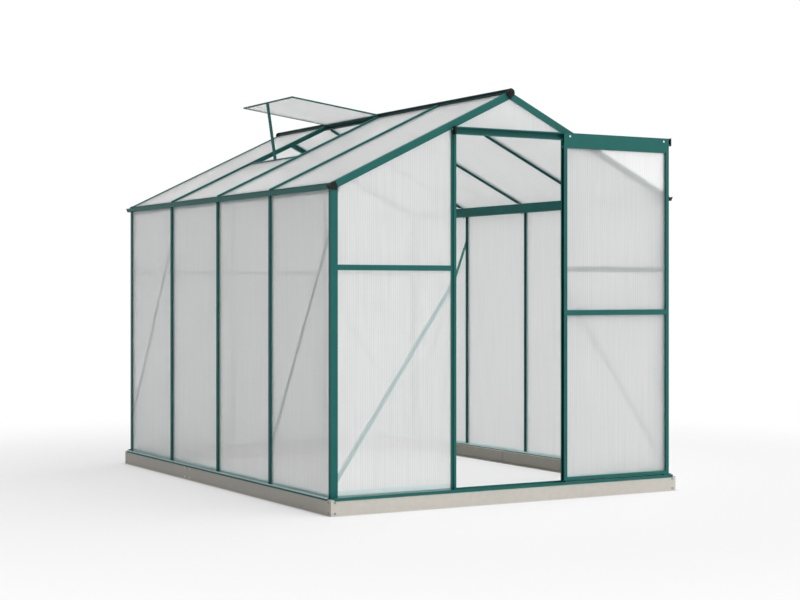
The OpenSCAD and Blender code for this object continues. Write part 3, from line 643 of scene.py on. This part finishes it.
stile_low, stile_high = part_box("door_stiles")
strip_size = Vector((STRIP_T, STRIP_W, stile_high.z - stile_low.z - 2 * STRIP_MARGIN))
strip_middle = (stile_low + stile_high) / 2
strip_middle.x = stile_low.x - STRIP_T / 2
painted_shade_strip = start_piece("cube", "door_edge_painted_shade_strip", size=1, location=strip_middle, scale=strip_size)
choose(painted_shade_strip, "FACE", flat_at(0, stile_low.x - STRIP_T))
bpy.ops.mesh.inset(thickness=STRIP_INSET)
bpy.ops.mesh.extrude_region_move(TRANSFORM_OT_translate={"value": (-STRIP_BULB, 0, 0)})
bpy.ops.mesh.select_all(action="SELECT")
bpy.ops.mesh.bevel(offset=STRIP_ROUND, segments=2)
close_piece()
# The strip's finish is nearly black: painted shade.
painted_shade_finish, skin, wire = new_finish("seal_painted_shade_finish", Specular_IOR_Level=0.05)
scuff = noise(wire, object_place(wire), SCUFF_PER_M, SCUFF_DETAIL)
wire.feed(skin.inputs["Base Color"], scuff.blend(PAINTED_SHADE_DEEP, PAINTED_SHADE_RUBBED))
wire.feed(skin.inputs["Roughness"], PAINTED_SHADE_ROUGH + SCUFF_ROUGH * scuff)
painted_shade_strip.data.materials.append(painted_shade_finish)
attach(painted_shade_strip, "door")
print("seal", [round(v, 3) for v in strip_size])

# %% [markdown]
# ## Corner plugs of the vent
# The bar at the free edge of the roof vent is closed at both ends with a small black plug. Each starts
# as a block, its edges are rounded, and it is turned with the vent about the hinge line.

# %% Vent corner plugs
HINGE = Vector((-7.5 * MM, 0, 1902.06 * MM))
VENT_OPEN_DEG = 7.5
VENT_LENGTH = 514 * MM
PLUG_ALONG = 11 * MM
PLUG_OUT = 7 * MM
PLUG_TALL = 6.4 * MM
PLUG_RISE = 1.4 * MM
PLUG_PROUD = 1.2 * MM
PLUG_ROUND = 1.2 * MM

vent_low, vent_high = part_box("vent_frame")
turn = Matrix.Translation(HINGE) @ Matrix.Rotation(math.radians(VENT_OPEN_DEG), 4, "Y")
for end, edge_y in (("front", vent_low.y), ("rear", vent_high.y)):
    inward = 1 if end == "front" else -1
    middle = Vector((PLUG_OUT / 2 - PLUG_PROUD - VENT_LENGTH,
                     edge_y + inward * (PLUG_ALONG / 2 - PLUG_PROUD), PLUG_RISE))
    plug = start_piece("cube", "vent_plug_" + end, size=1, location=middle,
                       scale=(PLUG_OUT, PLUG_ALONG, PLUG_TALL))
    bpy.ops.object.mode_set(mode="EDIT")
    bpy.ops.mesh.select_all(action="SELECT")
    bpy.ops.mesh.bevel(offset=PLUG_ROUND, segments=3)
    close_piece()
    plug.data.transform(turn)
    plug.data.materials.append(black_plastic)
    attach(plug, "frame")
    print(plug.name, [round(v, 4) for v in plug.data.vertices[0].co])

# %% [markdown]
# ## Studio
# The photograph has a white surround and one broad soft light from the right and the front: what faces
# left is about a third as bright. A sun lamp with a wide disc gives that soft light at the same strength
# everywhere. The floor and the sky show white to the camera, to gloss and to the panes, and the light
# that they throw is set apart from that. Part of the floor's white glows by itself and part is lit, so
# that the shadow of the object stays on it, and the glow darkens where the base touches the ground.

# %% White floor that keeps the shadow
FLOOR_GREY = (0.80, 0.80, 0.80, 1)
FLOOR_WHITE = (0.86, 0.86, 0.86, 1)
FLOOR_SIDE = 120.0
FLOOR_GLOW = 0.6
CONTACT_REACH = 0.04
CONTACT_SHADE = (0.05, 0.05, 0.05, 1)
CONTACT_SAMPLES = 8
NEAR_WHITE = (0.93, 0.93, 0.93, 1)
FAR_WHITE = (1, 1, 1, 1)
FADE_NEAR = 2.2
FADE_FAR = 4.5


def seen_directly(wire):
    """1 for rays from the camera, from gloss and through the panes, and 0 for scattered light."""
    path = wire.tree.nodes.new("ShaderNodeLightPath")
    seen = [Wire(wire.tree, path.outputs[kind])
            for kind in ("Is Camera Ray", "Is Glossy Ray", "Is Transmission Ray")]
    return wire.maths("MAXIMUM", wire.maths("MAXIMUM", seen[0], seen[1]), seen[2])


bpy.ops.mesh.primitive_plane_add(size=FLOOR_SIDE, location=(0, 0, 0))
floor = bpy.context.object
floor.name = "floor"
pale_floor, skin, wire = new_finish("pale_floor", Roughness=0.9, Specular_IOR_Level=0.0)
seen = seen_directly(wire)
wire.feed(skin.inputs["Base Color"], seen.blend(FLOOR_GREY, FLOOR_WHITE))
from_middle = {0: object_place(wire)}
reach = wire.node("ShaderNodeVectorMath", {"operation": "LENGTH"}, from_middle, output="Value")
far = wire.node("ShaderNodeMapRange", {"interpolation_type": "SMOOTHSTEP"},
                {"Value": reach, "From Min": FADE_NEAR, "From Max": FADE_FAR})
contact = wire.node("ShaderNodeAmbientOcclusion", {"samples": CONTACT_SAMPLES},
                    {"Distance": CONTACT_REACH}, output="AO")
glow = contact.blend(CONTACT_SHADE, far.blend(NEAR_WHITE, FAR_WHITE))
white = wire.node("ShaderNodeEmission", None, {"Color": glow, "Strength": 1.0})
share = seen * (FLOOR_GLOW + (1 - FLOOR_GLOW) * far)
lit = Wire(wire.tree, skin.outputs[0])
surface = wire.node("ShaderNodeMixShader", None, {0: share, 1: lit, 2: white})
wire.feed(wire.tree.nodes["Material Output"].inputs["Surface"], surface)
floor.data.materials.append(pale_floor)
print("floor", FLOOR_SIDE, "m wide")

# %% [markdown]
# The sky is white to the eye too. What it throws on the object is much weaker, or the side away from the
# lamp would be as bright as the side towards it.

# %% Sky
SKY_LIGHT = 0.285

world = bpy.data.worlds.new("studio")
bpy.context.scene.world = world
world.use_nodes = True
sky = world.node_tree.nodes["Background"]
wire = Wire(world.node_tree)
wire.feed(sky.inputs["Strength"], SKY_LIGHT + (1 - SKY_LIGHT) * seen_directly(wire))
sky.inputs["Color"].default_value = (1, 1, 1, 1)
print("sky light", SKY_LIGHT)

# %% [markdown]
# The lamp stands high on the right, a little to the front. A sun of strength pi lights a white surface
# that faces it to just white, so the strength is written as a multiple of pi.

# %% Lamp
SUN_FROM = Vector((0.58, -0.40, 0.71))
SUN_STRENGTH = 1.08 * math.pi
SUN_DISC_DEG = 90.0
SUN_AWAY = 10.0

bpy.ops.object.light_add(type="SUN", location=SUN_FROM * SUN_AWAY)
sun = bpy.context.object
sun.name = "key"
sun.data.energy = SUN_STRENGTH
sun.data.angle = math.radians(SUN_DISC_DEG)
sun.rotation_euler = (-SUN_FROM).to_track_quat("-Z", "Y").to_euler()
print("sun", round(SUN_STRENGTH, 2), "with a disc of", SUN_DISC_DEG, "degrees")

# %% [markdown]
# ## Close
# The view transform is set to Standard, so a colour renders as it is written.

# %% View
bpy.context.scene.view_settings.view_transform = "Standard"
